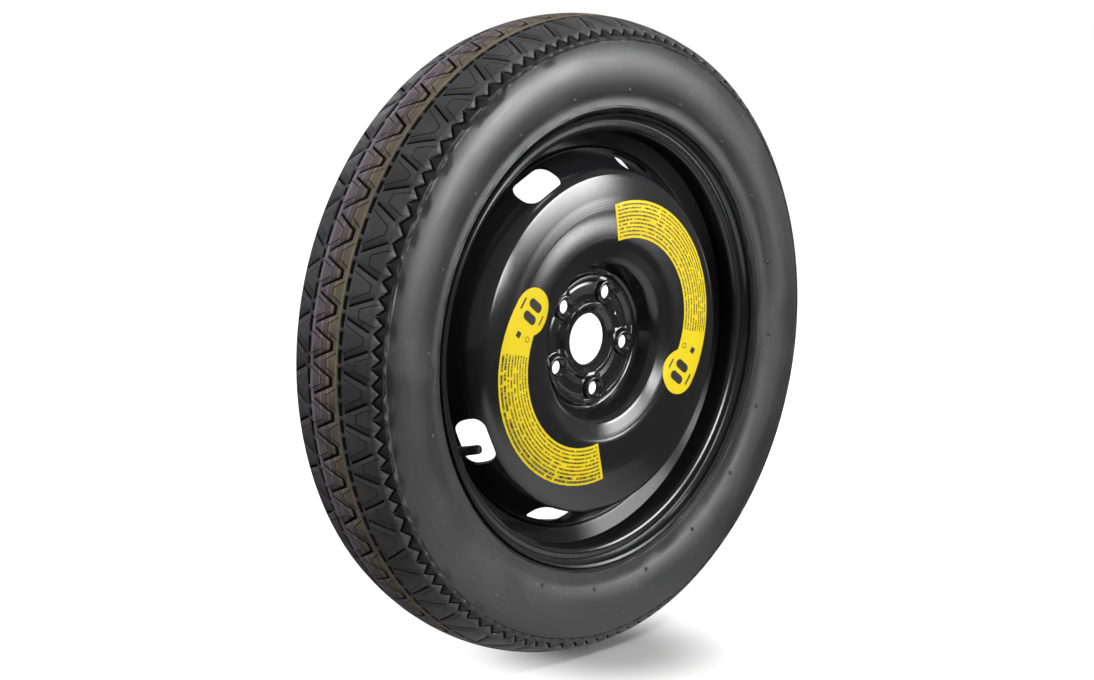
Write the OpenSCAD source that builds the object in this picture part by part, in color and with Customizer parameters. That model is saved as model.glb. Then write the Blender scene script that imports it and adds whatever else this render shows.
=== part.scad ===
// Space saver spare wheel: a narrow temporary tyre on a pressed steel wheel.
// The wheel stands upright and turns about the Y axis. Its outer face looks
// towards -Y, +Y is inboard and +Z is up. The origin is the centre of the hub
// mounting face. Angles go round from +X towards +Z, as seen from outside.

/* [Tyre] */
// Outer diameter of the tyre
tyre_d = 703.7; // [690:0.1:720]
// Width of the tyre across its sidewalls
section_w = 145; // [140:0.5:150]
// Fall of the tread from its centre to its edges
crown_drop = 11.1; // [8:0.1:13]
// Half width of the flat part of the tread
tread_half = 52.9; // [50:0.1:54]
// Fall from the crown to the line where the tread ends on the sidewall
shoulder_drop = 25.65; // [22:0.05:28]
// Thickness of the tyre under the tread
crown_t = 10.7; // [8.5:0.1:14]
// Thickness of the sidewall at its widest
sidewall_t = 5.5; // [4.5:0.1:8]
// Width of the bead foot on its seat
bead_w = 13; // [11:0.1:15]

/* [Tread] */
// Order of long and short pitches round the tread
pitch_mix = "LSLSSSSSLSSLSLSSSLSSLSSSLSSLSSLSSSSSSL";
// Length of a long pitch, as a multiple of a short one
long_pitch = 1.25; // [1:0.05:1.4]
// Angle of the first pitch
tread_angle = 128.65; // [0:0.05:360]
// Depth of the tread grooves
tread_depth = 4; // [2:0.1:5]
// Depth of the zigzag round the shoulder
shoulder_depth = 2.6; // [1:0.1:4]
// Distance of each ring groove from the tread centre
ring_y = 23; // [21:0.1:25]
// Width of each ring groove
ring_w = 4.8; // [3:0.1:6]
// Width of the slanting grooves
arm_w = 3; // [2:0.1:4]

/* [Rim] */
// Bead seat diameter
seat_d = 462; // [461:0.1:463]
// Width between the two flanges
rim_w = 101.6; // [98:0.1:104]
// Height of each flange above the bead seat
flange_h = 17.3; // [16:0.1:18]
// Radius of each rolled flange
flange_r = 9.5; // [8:0.1:11]
// Distance from the hub face to the middle of the rim
wheel_offset = 29; // [26:0.5:32]
// Thickness of the rim steel
rim_t = 2.8; // [2:0.1:3.2]
// Depth of the drop centre below the bead seats
well_depth = 19.5; // [17:0.5:22]
// Width of the drop centre floor
well_w = 17; // [14:0.5:20]

/* [Disc] */
// Thickness of the disc steel
disc_t = 4.5; // [3.5:0.1:5]
// How far the dome stands out from the hub face
dome_h = 36; // [32:0.5:38]
// Diameter of the hub recess at its floor
recess_d = 155; // [150:0.5:158]
// How far the disc's outer wall runs outwards to its flange
wall_run = 23.2; // [20:0.1:27]
// Length of the disc's flange inside the drop centre
disc_flange = 14; // [10:0.5:15]
// Angle that the bolt, the vent and the valve share
index_angle = 206; // [0:1:360]
// Width of a vent
vent_w = 57; // [40:0.5:62]
// Height of a vent along the slope
vent_h = 34; // [24:0.5:35]
// Corner radius of a vent
vent_r = 14; // [6:0.5:15]
// Angle from one vent to the next in its group
vent_step = 45; // [40:1:50]
// Length of each weld round the disc's flange
weld_arc = 50; // [30:1:70]

/* [Hub] */
// Diameter of the centre bore
bore_d = 57.1; // [54:0.1:58]
// Diameter of the bolt circle
pcd = 112; // [110:0.1:114]
// Number of wheel bolts
bolt_count = 5; // [4:1:5]
// Diameter of each bolt hole
bolt_hole_d = 15; // [14:0.1:16]
// Ball radius of the bolt seats
ball_r = 13; // [12:0.1:14]
// Height of the pressed ridges above the hub pad
ridge_h = 4; // [3:0.1:5]
// Diameter of the locating hole
locating_d = 6.5; // [5:0.1:8]

/* [Labels] */
// Gap between each label's outer edge and the dome's shoulder
label_gap = 14.8; // [12:0.1:18]
// Width of each label
label_w = 41; // [36:0.1:44]
// Distance of a label's own centre from the wheel axis
label_shift = 36.5; // [32:0.1:40]
// Arc that a label covers
label_arc = 138; // [100:1:150]
// Radius of the round head of a label
label_head_r = 25.6; // [22:0.1:28]
// Thickness of a label
label_t = 0.3; // [0.2:0.05:0.5]

/* [Valve] */
// Diameter of the valve hole in the rim
valve_hole_d = 11.3; // [10.8:0.1:11.8]
// Length of the rubber stem outside the rim
rubber_l = 18.8; // [14:0.1:22]
// Diameter of the threaded brass end
thread_d = 7.7; // [7:0.05:8]
// Length of the threaded brass end
thread_l = 11.2; // [9:0.1:13]
// Outer diameter of the cap
cap_d = 10; // [9.4:0.1:11]

/* [Hidden] */
$fn = 128;
steel = [0.05, 0.05, 0.055];
rubber = [0.13, 0.13, 0.135];
vinyl = [0.97, 0.86, 0.1];
brass = [0.78, 0.62, 0.3];

// A direction of length one.
function unit(v) = v / norm(v);
// Points along an arc, from angle a0 to angle a1.
function arc(c, r, a0, a1, n) =
    [for (i = [0:n]) let(a = a0 + (a1 - a0) * i / n) c + r * [cos(a), sin(a)]];
// The round corner of radius r at b, on the way from a to c. It takes less than
// half of the shorter leg.
function corner(a, b, c, r, n) = let(
    u = unit(a - b), w = unit(c - b), half = acos(u * w) / 2, turn = 180 - 2 * half,
    fit = min(r, 0.49 * min(norm(a - b), norm(c - b)) * tan(half)),
    m = b + unit(u + w) * fit / sin(half),
    p = b + u * fit / tan(half) - m, q = b + w * fit / tan(half) - m)
    [for (i = [0:n]) m + (sin(turn * (1 - i / n)) * p + sin(turn * i / n) * q) / sin(turn)];
// A path whose corners [x, y, radius] are rounded.
function rounded(p, n = 5) = [for (i = [0:len(p) - 1])
    each (i == 0 || i == len(p) - 1 || p[i][2] == undef ? [[p[i][0], p[i][1]]]
        : corner([p[i - 1][0], p[i - 1][1]], [p[i][0], p[i][1]],
                 [p[i + 1][0], p[i + 1][1]], p[i][2], n))];
// The left-hand normal of the step from a to b.
function normal(a, b) = let(u = unit(b - a)) [-u[1], u[0]];
// A path moved sideways by t, with mitred joints.
function shifted(p, t) = [for (i = [0:len(p) - 1]) let(
    n0 = i == 0 ? normal(p[0], p[1]) : normal(p[i - 1], p[i]),
    n1 = i == len(p) - 1 ? n0 : normal(p[i], p[i + 1]))
    p[i] + t * (n0 + n1) / (1 + n0 * n1)];
function reversed(p) = [for (i = [len(p) - 1:-1:0]) p[i]];
function mirrored(p) = [for (i = [len(p) - 1:-1:0]) [p[i][0], -p[i][1]]];

// Turns a section of [radius, axial place] points about the wheel axis.
module revolve(section, from_y = 0) {
    translate([0, from_y, 0]) rotate([-90, 0, 0]) rotate_extrude() polygon(section);
}
// Carries its child round the wheel to an angle, x outwards and z along the rim.
module at_angle(a) { rotate([0, -a, 0]) children(); }

// Rim section, measured from the middle of the rim.
seat_r = seat_d / 2;
half_w = rim_w / 2;
well_r = seat_r - well_depth;
flange_c = [seat_r + flange_h - flange_r, -half_w - flange_r];
taper = tan(5);
heel_r = 6.5;
lip_turn = 22;
well_y0 = -18.8;
well_y1 = well_y0 + well_w;
drop_top = [seat_r - 2.1, -27.5];
flange_arc = arc(flange_c, flange_r, -lip_turn, 90, 8);
out_seat = [[flange_c[0], -half_w], [seat_r, -half_w, heel_r],
    [seat_r - taper * (half_w - 34), -34, 4], [seat_r - 0.6, -31.2, 2.2]];
in_seat = [[seat_r - 0.6, 31.2, 2.2], [seat_r - taper * (half_w - 34), 34, 4],
    [seat_r, half_w, heel_r], [flange_c[0], half_w]];
flange_roll = [for (i = [0:len(flange_arc) - 2]) flange_arc[i]];
rim_path = concat(flange_roll,
    rounded(concat(out_seat,
        [[drop_top[0], drop_top[1], 3.2], [well_r, well_y0, 3.2], [well_r, well_y1, 6],
            [seat_r - 2.1, 20, 10]],
        in_seat)),
    mirrored(flange_roll));
rim_section = concat(rim_path, reversed(shifted(rim_path, rim_t)));

// Tyre section, measured from the middle of the rim.
tyre_r = tyre_d / 2;
flange_top = seat_r + flange_h;
edge_r = tyre_r - shoulder_drop;
edge_y = section_w / 2 - 6.6;
toe_y = half_w - bead_w;
toe_r = seat_r - taper * bead_w;
wall_mid_r = flange_top + 0.593 * (edge_r - flange_top);
wall_r = edge_r - flange_top + 0.8;
function crown_r(y) = tyre_r - crown_drop * pow(y / tread_half, 2);
function wall_y(r) = section_w / 2 - wall_r + sqrt(wall_r * wall_r - pow(r - wall_mid_r, 2));
// A place on the shoulder, from 0 at the crown's edge to 1 at the tread's edge.
function shoulder(fall, out) =
    [crown_r(tread_half) + fall * (edge_r - crown_r(tread_half)),
     -tread_half + out * (tread_half - edge_y)];
shoulder_top = shoulder(0.145, 0.23);
shoulder_low = shoulder(0.8, 0.91);
bead_arc = reversed([for (i = [2:len(flange_arc) - 2]) flange_arc[i]]);
wall_low = flange_top + 13.7;
bead_wall_t = 12.4783;
wall_steps = 8;
wall_arc = [for (i = [0:wall_steps]) let(r = wall_low + (edge_r - 2 - wall_low) * i / wall_steps)
    [r, -wall_y(r)]];
crown_arc = [for (i = [1:4]) let(y = -tread_half * (1 - i / 4.5)) [crown_r(y), y]];
outer_half = concat(
    rounded([[toe_r, -toe_y], [seat_r, -half_w, heel_r], [flange_c[0], -half_w]]),
    bead_arc,
    rounded([[flange_top + 3.7, 2.1 - wall_y(wall_low)], [flange_top + 5.9, -wall_y(wall_low) - 1, 0.8],
        [flange_top + 8.3, 0.1 - wall_y(wall_low), 1], wall_arc[0]], 3),
    [for (i = [1:wall_steps]) wall_arc[i]],
    [[edge_r - 0.3, 1 - edge_y], [edge_r, -edge_y], shoulder_low, shoulder_top,
        [crown_r(tread_half), -tread_half]],
    crown_arc);
inner_half = rounded([[toe_r, -toe_y], [seat_r + 7, -toe_y - 0.8, 8],
    [flange_top + 3.7, bead_wall_t - wall_y(wall_low), 14],
    [wall_mid_r, sidewall_t - 1 - section_w / 2, 60], [edge_r - 4.2, 5.9 - edge_y, 14],
    [tyre_r - crown_t - 3.7, 8.9 - tread_half, 18],
    [tyre_r - crown_t, -12], [tyre_r - crown_t, 0]]);
tyre_section = concat(outer_half, [[tyre_r, 0]], mirrored(outer_half),
    [for (i = [1:len(inner_half) - 2]) [inner_half[i][0], -inner_half[i][1]]],
    [for (i = [len(inner_half) - 1:-1:1]) inner_half[i]]);

// Tread. A tooth is a third of a pitch, and t counts teeth round the tyre.
pitches = len(pitch_mix);
function share(i) = pitch_mix[i] == "L" ? long_pitch : 1;
share_sums = [for (i = 0, s = 0; i <= pitches; s = s + (i < pitches ? share(i) : 0), i = i + 1) s];
short_angle = 360 / share_sums[pitches];
function tooth_angle(t) = let(turns = floor(t / (3 * pitches)), w = t / 3 - turns * pitches,
    i = floor(w)) tread_angle + 360 * turns
    + short_angle * (share_sums[i] + (w - i) * share(i));
// A groove cut square to the tread at tooth place t, y from the tread centre.
// side is -1 outboard or 1 inboard, lean is the fall of the surface there, and
// each point is [tooth place, distance outwards from y, shift along the tread].
margin = 4;
module groove(t, y, points, depth, side = 1, lean = 0, r = 0) {
    top_r = r > 0 ? r : crown_r(y);
    at_angle(tooth_angle(t)) translate([top_r, wheel_offset + side * y, 0])
        rotate([0, 0, side * lean]) translate([-depth, 0, 0]) rotate([0, 90, 0])
            linear_extrude(height = depth + margin)
                polygon([for (p = points) let(a = tooth_angle(t) - tooth_angle(p[0]))
                    [top_r * PI / 180 * a - p[2],
                     side * (p[1] + top_r * (1 - cos(a)) * sin(lean))]]);
}
// The arrow across the middle of the tread.
module arrow(t) {
    groove(t, 0, [[t - 0.25, -14.3, 0], [t + 0.25, -14.3, 0], [t + 0.95, 14.5, 0],
        [t + 0.95, 14.5, -arm_w], [t + 0.19, -9.3, 0], [t - 0.19, -9.3, 0],
        [t - 0.95, 14.5, arm_w], [t - 0.95, 14.5, 0]], tread_depth);
}
// One dash of a ring groove, from tooth place a to tooth place b.
module dash(a, b, side) {
    groove((a + b) / 2, ring_y, [[a, -ring_w / 2, 1.2], [b, -ring_w / 2, -1.2],
        [b, ring_w / 2, 0], [a, ring_w / 2, 0]], tread_depth, side);
}
// A slanting groove over the shoulder, from tooth place a to tooth place b.
arm_y0 = ring_y + ring_w / 2 + 3;
arm_y1 = tread_half + 0.6;
arm_lean = atan(crown_drop * (arm_y0 + arm_y1) / pow(tread_half, 2));
module arm(a, b, side) {
    mid = (arm_y0 + arm_y1) / 2;
    reach = (arm_y1 - arm_y0) / 2 / cos(arm_lean);
    groove((a + b) / 2, mid, [[a, -reach, -arm_w / 2], [a, -reach, arm_w / 2],
        [b, reach, arm_w / 2], [b, reach, -arm_w / 2]], shoulder_depth + 0.8, side, arm_lean);
}
// One pitch of the zigzag round a shoulder, from tooth place t to t + 3.
zigzag_at = (shoulder_top + shoulder_low) / 2;
zigzag_lean = atan2(shoulder_top[0] - shoulder_low[0], shoulder_top[1] - shoulder_low[1]);
module zigzag(t, side) {
    up = 6.2;
    down = 2.2;
    line_w = 3.8;
    gap = 0.3;
    crests = [for (k = [0:6])
        [t + k / 2, k % 2 == 0 ? -up : down, k == 0 ? gap : k == 6 ? -gap : 0]];
    groove(t + 1.5, -zigzag_at[1], concat(crests, reversed([for (p = crests) p + [0, line_w, 0]])),
        shoulder_depth, side, zigzag_lean, zigzag_at[0]);
}
module tread_grooves() {
    for (i = [0:2:3 * pitches - 1]) arrow(i);
    for (i = [0:2:3 * pitches - 1], k = [0, 1]) dash(i + k + 0.1, i + k + 0.93, -1);
    for (i = [0:pitches - 1]) {
        dash(3 * i - 0.22, 3 * i + 0.28, 1);
        dash(3 * i + 0.45, 3 * i + 1.46, 1);
        dash(3 * i + 1.65, 3 * i + 2.62, 1);
        for (side = [-1, 1]) {
            arm(3 * i + 0.33, 3 * i + 0.96, side);
            arm(3 * i - 0.33, 3 * i - 0.96, side);
        }
    }
    for (i = [0:pitches - 1], side = [-1, 1]) zigzag(3 * i, side);
}
module tyre() {
    color(rubber) difference() {
        revolve(tyre_section, wheel_offset);
        tread_grooves();
    }
}

// The valve sits square in the slope between bead seat and drop centre.
slope = normal(drop_top, [well_r, well_y0]);
valve_turn = atan2(-slope[0], slope[1]);
valve_seat = (drop_top + [well_r, well_y0] + unit(drop_top - [well_r, well_y0])) / 2
    + rim_t * slope;
// Carries its child to the valve, z outwards from the rim.
module at_valve() {
    at_angle(index_angle) translate([valve_seat[0], valve_seat[1] + wheel_offset, 0])
        rotate([0, 0, valve_turn]) rotate([-90, 0, 0]) children();
}
// Turns a section of [radius, height] points about the valve axis.
module valve_turned(section) { at_valve() rotate_extrude($fn = 48) polygon(section); }
module rim() {
    color(steel) difference() {
        revolve(rim_section, wheel_offset);
        at_valve() translate([0, 0, -2 * rim_t])
            cylinder(d = valve_hole_d, h = 3 * rim_t, $fn = 64);
    }
}

// Disc: hub pad, recess wall, dome, outer wall and the flange in the drop centre.
bore_r = bore_d / 2;
pad_y = -disc_t;
ridge_y = pad_y - ridge_h;
recess_r = recess_d / 2;
flange_out_r = well_r - rim_t;
shoulder_r = flange_out_r - wall_run;
foot_y = wheel_offset + well_y0 - 4;
flange_end = foot_y + 4 + disc_flange - 2;
dome_rise_r = recess_r + (shoulder_r - recess_r) * 61 / 216;
dome_crest_r = recess_r + (shoulder_r - recess_r) * 145 / 216;
wall_top = [shoulder_r, 7 - dome_h];
wall_foot = [flange_out_r, foot_y];
disc_path = rounded([[bore_r - 3, pad_y], [recess_r, pad_y, 5],
    [recess_r + 9, 8.5 - dome_h, 14], [dome_rise_r, 1.5 - dome_h, 40],
    [dome_crest_r, -dome_h, 60],
    [wall_top[0], wall_top[1], 14], [wall_foot[0], wall_foot[1], 8],
    [flange_out_r, flange_end]]);
disc_section = concat(disc_path, reversed(shifted(disc_path, disc_t)));
// A ridge pressed up round the hub, from radius a to radius b, with its slopes.
module ridge(a, b, slope_in, slope_out) {
    revolve(concat([[a - slope_in, pad_y + 1]],
        rounded([[a - slope_in, pad_y], [a, ridge_y, 2], [b, ridge_y, 2], [b + slope_out, pad_y]]),
        [[b + slope_out, pad_y + 1]]));
}
// The hollow behind a ridge.
module ridge_back(a, b) {
    revolve([[a - 2.5, 1], [a - 2.5, 0], [a, 0.6 - ridge_h], [b, 0.6 - ridge_h], [b + 2.5, 0],
        [b + 2.5, 1]]);
}
ridge_in = bore_r + 7.95;
ridge_out = recess_r - 10.7;
boss_top = ridge_y - 0.6;
boss_r = 12.6;
seat_open_r = 10.2;
ball_y = boss_top - sqrt(ball_r * ball_r - seat_open_r * seat_open_r);
module at_bolts() {
    for (k = [0:bolt_count - 1])
        at_angle(index_angle + k * 360 / bolt_count) translate([pcd / 2, 0, 0]) children();
}
module boss() {
    revolve(concat([[0, pad_y + 1], [boss_r + 3, pad_y + 1]],
        rounded([[boss_r + 3, pad_y], [boss_r, boss_top, 2.5], [0, boss_top]])));
}
module boss_back() {
    revolve([[0, 1], [boss_r, 1], [boss_r, 0], [boss_r - 2.6, 1 - ridge_h], [0, 1 - ridge_h]]);
}
module bolt_hole() {
    rotate([90, 0, 0]) translate([0, 0, -5]) cylinder(d = bolt_hole_d, h = 30);
    translate([0, ball_y, 0]) rotate([90, 0, 0]) sphere(r = ball_r);
}
// Outline of a vent: a box with round corners.
vent_outline = let(w = vent_w / 2 - vent_r, h = vent_h / 2 - vent_r) concat(
    arc([w, h], vent_r, 0, 90, 6), arc([-w, h], vent_r, 90, 180, 6),
    arc([-w, -h], vent_r, 180, 270, 6), arc([w, -h], vent_r, 270, 360, 6));
wall_way = unit(wall_foot - wall_top);
vent_at = wall_top + wall_way * (norm(wall_foot - wall_top) / 2 + 0.8);
vent_angles = [for (side = [0, 180], k = [0:2]) index_angle + side + k * vent_step];
module vents() {
    for (a = vent_angles) at_angle(a) translate([vent_at[0], vent_at[1], 0])
        rotate([0, 0, atan2(-wall_way[0], wall_way[1])]) rotate([0, 90, 0])
            linear_extrude(height = 5 * disc_t, center = true) polygon(vent_outline);
}
module wheel_disc() {
    color(steel) difference() {
        union() {
            revolve(disc_section);
            ridge(ridge_in, ridge_in + 4, 5, 4);
            ridge(ridge_out, ridge_out + 3.7, 3.8, 3.5);
            at_bolts() boss();
        }
        ridge_back(ridge_in + 0.5, ridge_in + 3.5);
        ridge_back(ridge_out + 0.4, ridge_out + 3.2);
        at_bolts() boss_back();
        at_bolts() bolt_hole();
        rotate([90, 0, 0]) translate([0, 0, -20]) cylinder(d = bore_d, h = 50);
        at_angle(index_angle + 180) translate([pcd / 2 - 4, 0, 0]) rotate([90, 0, 0])
            translate([0, 0, -5]) cylinder(d = locating_d, h = 20);
        vents();
    }
}
// Weld beads in the corner between the disc's flange and the drop centre.
module weld_seams() {
    bead = 4;
    color(steel * 1.6)
        for (k = [0:3]) at_angle(index_angle + 45 + 90 * k - weld_arc / 2)
            translate([0, flange_end, 0]) rotate([-90, 0, 0])
                rotate_extrude(angle = -weld_arc)
                    polygon(concat([[flange_out_r, 0]], arc([flange_out_r, 0], bead, 90, 180, 5)));
}

// Labels: arched strips with a round head, lying on the dome.
label_out_r = shoulder_r - label_shift - label_gap;
head_at = label_out_r - label_head_r;
label_in_r = label_out_r - label_w;
join_turn = acos((label_in_r * label_in_r - head_at * head_at - label_head_r * label_head_r)
    / (2 * head_at * label_head_r));
head_c = [head_at, 0];
join = head_c + label_head_r * [cos(join_turn), sin(join_turn)];
label_outline = concat(arc([0, 0], label_out_r, label_arc, 0, 24),
    arc(head_c, label_head_r, -12, join_turn - 360, 20),
    arc([0, 0], label_in_r, atan2(join[1], join[0]) + 2, label_arc, 18));
dome_path = [for (p = disc_path) if (p[0] > recess_r + 14 && p[0] < shoulder_r - 3) p];
module speed_label(a) {
    color(vinyl) intersection() {
        revolve(concat(dome_path, reversed(shifted(dome_path, -label_t))));
        at_angle(a) translate([label_shift, 0, 0]) at_angle(-67) rotate([90, 0, 0])
            linear_extrude(height = 2 * dome_h) polygon(label_outline);
    }
}
module speed_label_left() { speed_label(index_angle + 3.5); }
module speed_label_right() { speed_label(index_angle + 183.5); }

// Valve, in heights above the air side of the rim.
fit_gap = 0.06;
neck_r = valve_hole_d / 2 - fit_gap / 2;
thread_r = thread_d / 2;
stem_r = thread_r - 0.65;
foot_z = -11;
thread_z = rubber_l + 0.4;
stem_top = thread_z + thread_l;
core_r = 2.6;
core_z = stem_top - 6;
gasket_r = 2.3;
barrel_z = stem_top - 16;
barrel_r = 1.75;
tube_r = 1.25;
pin_r = 0.45;
cup_z = barrel_z - 1.4;
module valve_body() {
    color(rubber) valve_turned(concat([[stem_r, foot_z], [6.8, foot_z]],
        rounded([[6.8, foot_z], [8.2, -6.6, 1.5], [8.2, -rim_t, 0.8], [neck_r, -rim_t]]),
        rounded([[neck_r, fit_gap], [7.2, fit_gap, 0.6], [6.9, 2.6, 1.5], [5.3, 12, 6], [5, rubber_l, 0.5],
            [stem_r, rubber_l]])));
}
module valve_stem() {
    color(brass) valve_turned([[1.9, foot_z], [stem_r, foot_z], [stem_r, thread_z],
        [thread_r, thread_z + 0.6], [thread_r, stem_top - 0.5], [thread_r - 0.5, stem_top],
        [core_r + fit_gap, stem_top], [core_r + fit_gap, core_z - 0.6],
        [gasket_r + fit_gap, core_z - 0.6], [gasket_r + fit_gap, core_z - 4.4],
        [1.9, core_z - 4.8]]);
}
// The threaded plug that holds the core in the stem.
module core_plug() {
    color(brass) difference() {
        valve_turned([[tube_r - 0.05, core_z], [core_r, core_z], [core_r, stem_top - 2],
            [core_r - 0.4, stem_top - 1.6], [core_r - 0.4, stem_top - 0.4],
            [tube_r - 0.05, stem_top - 0.4]]);
        at_valve() translate([-4, -0.6, stem_top - 1.6]) cube([8, 1.2, 2]);
    }
}
module core_barrel() {
    color(brass) valve_turned([[pin_r + 0.2, barrel_z], [barrel_r - 0.3, barrel_z],
        [barrel_r, barrel_z + 0.3], [barrel_r, core_z], [tube_r, core_z],
        [tube_r, barrel_z + 1.2], [pin_r + 0.2, barrel_z + 1.2]]);
}
module barrel_gasket() {
    color("firebrick") valve_turned([[barrel_r, core_z - 4.2], [gasket_r - 0.25, core_z - 4.2],
        [gasket_r, core_z - 3.6], [gasket_r, core_z - 1], [barrel_r, core_z - 1]]);
}
// The pin, its collar under the plug and the cup that closes the barrel.
module core_pin() {
    color(brass) valve_turned([[0, cup_z - 1.2], [0.7, cup_z - 1.2], [barrel_r - 0.25, cup_z - 0.6],
        [barrel_r - 0.25, cup_z], [pin_r, cup_z], [pin_r, core_z - 0.5],
        [tube_r - 0.1, core_z - 0.5], [tube_r - 0.1, core_z - 0.05], [pin_r, core_z - 0.05],
        [pin_r, stem_top - 0.6], [0, stem_top - 0.3]]);
}
module cup_seal() {
    color(rubber) valve_turned([[pin_r, cup_z], [barrel_r - 0.3, cup_z],
        [barrel_r - 0.3, barrel_z - 0.05], [pin_r, barrel_z - 0.05]]);
}
module core_spring() {
    spring_l = core_z - 0.5 - barrel_z - 1.2;
    turns = 9;
    wire_d = 0.28;
    coil_r = 0.82;
    sweep = 180 * wire_d * turns / spring_l;
    color("silver") at_valve() translate([0, 0, barrel_z + 1.2])
        linear_extrude(height = spring_l, twist = 360 * turns, slices = 12 * turns, $fn = 8)
            polygon(concat(arc([0, 0], coil_r + wire_d / 2, -sweep, sweep, 3),
                arc([0, 0], coil_r - wire_d / 2, sweep, -sweep, 3)));
}
cap_z = rubber_l + 0.3;
cap_roof = stem_top + 0.7;
module valve_cap() {
    cap_r = cap_d / 2;
    color(rubber) difference() {
        valve_turned(concat([[thread_r + 0.1, cap_z], [cap_r, cap_z]],
            rounded([[cap_r, cap_z], [cap_r, cap_roof - 2, 0.8], [cap_r - 1, cap_roof + 1.2, 1],
                [0, cap_roof + 1.2]]),
            [[0, cap_roof], [thread_r + 0.1, cap_roof]]));
        at_valve() for (k = [0:11]) rotate([0, 0, 30 * k]) translate([cap_r + 0.15, 0, cap_z - 1])
            cylinder(r = 0.5, h = cap_roof - cap_z - 1, $fn = 16);
    }
}
module cap_gasket() {
    color("dimgray") valve_turned([[0, stem_top + 0.05], [thread_r - 0.1, stem_top + 0.05],
        [thread_r - 0.1, cap_roof], [0, cap_roof]]);
}

tyre();
rim();
wheel_disc();
weld_seams();
speed_label_left();
speed_label_right();
valve_body();
valve_stem();
core_plug();
core_barrel();
barrel_gasket();
core_pin();
cup_seal();
core_spring();
valve_cap();
cap_gasket();
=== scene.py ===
import math

import bpy
from mathutils import Matrix, Vector


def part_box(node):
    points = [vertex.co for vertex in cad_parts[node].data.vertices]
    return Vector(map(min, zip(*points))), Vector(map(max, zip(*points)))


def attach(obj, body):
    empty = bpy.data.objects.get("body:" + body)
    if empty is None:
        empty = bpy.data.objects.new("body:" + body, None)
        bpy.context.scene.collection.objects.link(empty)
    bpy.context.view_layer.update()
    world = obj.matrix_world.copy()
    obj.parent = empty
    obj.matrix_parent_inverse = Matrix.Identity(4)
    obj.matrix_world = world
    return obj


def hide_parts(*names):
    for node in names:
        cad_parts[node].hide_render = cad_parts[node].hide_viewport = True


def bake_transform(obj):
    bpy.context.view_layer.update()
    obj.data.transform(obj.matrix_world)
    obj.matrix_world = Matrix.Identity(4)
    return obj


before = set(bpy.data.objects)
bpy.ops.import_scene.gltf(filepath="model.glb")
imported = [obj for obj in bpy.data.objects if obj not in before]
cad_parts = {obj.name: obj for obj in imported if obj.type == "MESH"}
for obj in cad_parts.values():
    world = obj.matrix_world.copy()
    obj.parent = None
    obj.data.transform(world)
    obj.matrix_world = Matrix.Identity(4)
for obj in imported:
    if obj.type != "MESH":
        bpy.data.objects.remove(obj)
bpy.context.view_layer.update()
scene = bpy.context.scene
scene.view_settings.view_transform = "Standard"

# The view. The wheel stands upright on a pale floor and is seen from the front
# left, from a little above, through a long lens.
camera_data = bpy.data.cameras.new("camera")
camera_data.sensor_width = 36.0
camera_data.sensor_fit = "HORIZONTAL"
camera_data.lens = 79.07
camera_data.clip_end = 50.0
camera = bpy.data.objects.new("camera", camera_data)
scene.collection.objects.link(camera)
scene.camera = camera
camera_place = Vector((-1.8881, -1.7623, 0.4747))
look = Vector((0.70801, 0.68245, -0.18160)).normalized()
side_turn = -0.804
roll = 0.006
side = Vector((math.cos(side_turn), math.sin(side_turn), 0.0))
above = side.cross(look)
camera_side = side * math.cos(roll) + above * math.sin(roll)
camera_up = above * math.cos(roll) - side * math.sin(roll)
camera.matrix_world = Matrix((
    (camera_side.x, camera_up.x, -look.x, camera_place.x),
    (camera_side.y, camera_up.y, -look.y, camera_place.y),
    (camera_side.z, camera_up.z, -look.z, camera_place.z),
    (0.0, 0.0, 0.0, 1.0)))

# The floor. The camera sees it white, with the soft shadow of the wheel and a painted
# shadow, a dark foot, under the tyre. It throws little light back up, and the gloss
# paint shows only a patch of it in front of the wheel: a painted reflection that glows
# for reflected rays alone.
floor_size = 16.0
floor_gap = 0.0002
floor_seen_tone = (0.34, 0.34, 0.34, 1.0)
floor_bounce_tone = (0.10, 0.10, 0.10, 1.0)
floor_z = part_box("tyre")[0][2] - floor_gap
bpy.ops.object.select_all(action="DESELECT")
bpy.ops.mesh.primitive_plane_add(size=floor_size, location=(0.0, 0.0, floor_z))
floor = bpy.context.object
floor.name = "floor"
floor_paint = bpy.data.materials.new("floor_paint")
floor_paint.use_nodes = True
nodes = floor_paint.node_tree.nodes
links = floor_paint.node_tree.links
nodes.clear()
floor_out = nodes.new("ShaderNodeOutputMaterial")
floor_mix = nodes.new("ShaderNodeMixShader")
floor_sum = nodes.new("ShaderNodeAddShader")
floor_matt = nodes.new("ShaderNodeBsdfDiffuse")
floor_glow = nodes.new("ShaderNodeEmission")
floor_mirrored = nodes.new("ShaderNodeEmission")
floor_rays = nodes.new("ShaderNodeLightPath")
floor_spot = nodes.new("ShaderNodeTexCoord")
floor_tone = nodes.new("ShaderNodeMix")
floor_tone.data_type = "RGBA"
floor_tone.inputs[6].default_value = floor_seen_tone
floor_tone.inputs[7].default_value = floor_bounce_tone
links.new(floor_rays.outputs["Is Diffuse Ray"], floor_tone.inputs[0])
links.new(floor_tone.outputs[2], floor_matt.inputs["Color"])


def floor_level(middle, near, far, at_near, at_far, change="LINEAR"):
    """A value that goes from one level to another away from a point of the floor."""
    gap = nodes.new("ShaderNodeVectorMath")
    gap.operation = "DISTANCE"
    gap.inputs[1].default_value = middle
    links.new(floor_spot.outputs["Object"], gap.inputs[0])
    level = nodes.new("ShaderNodeMapRange")
    level.interpolation_type = change
    level.inputs["From Min"].default_value = near
    level.inputs["From Max"].default_value = far
    level.inputs["To Min"].default_value = at_near
    level.inputs["To Max"].default_value = at_far
    links.new(gap.outputs["Value"], level.inputs["Value"])
    return level.outputs[0]


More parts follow.
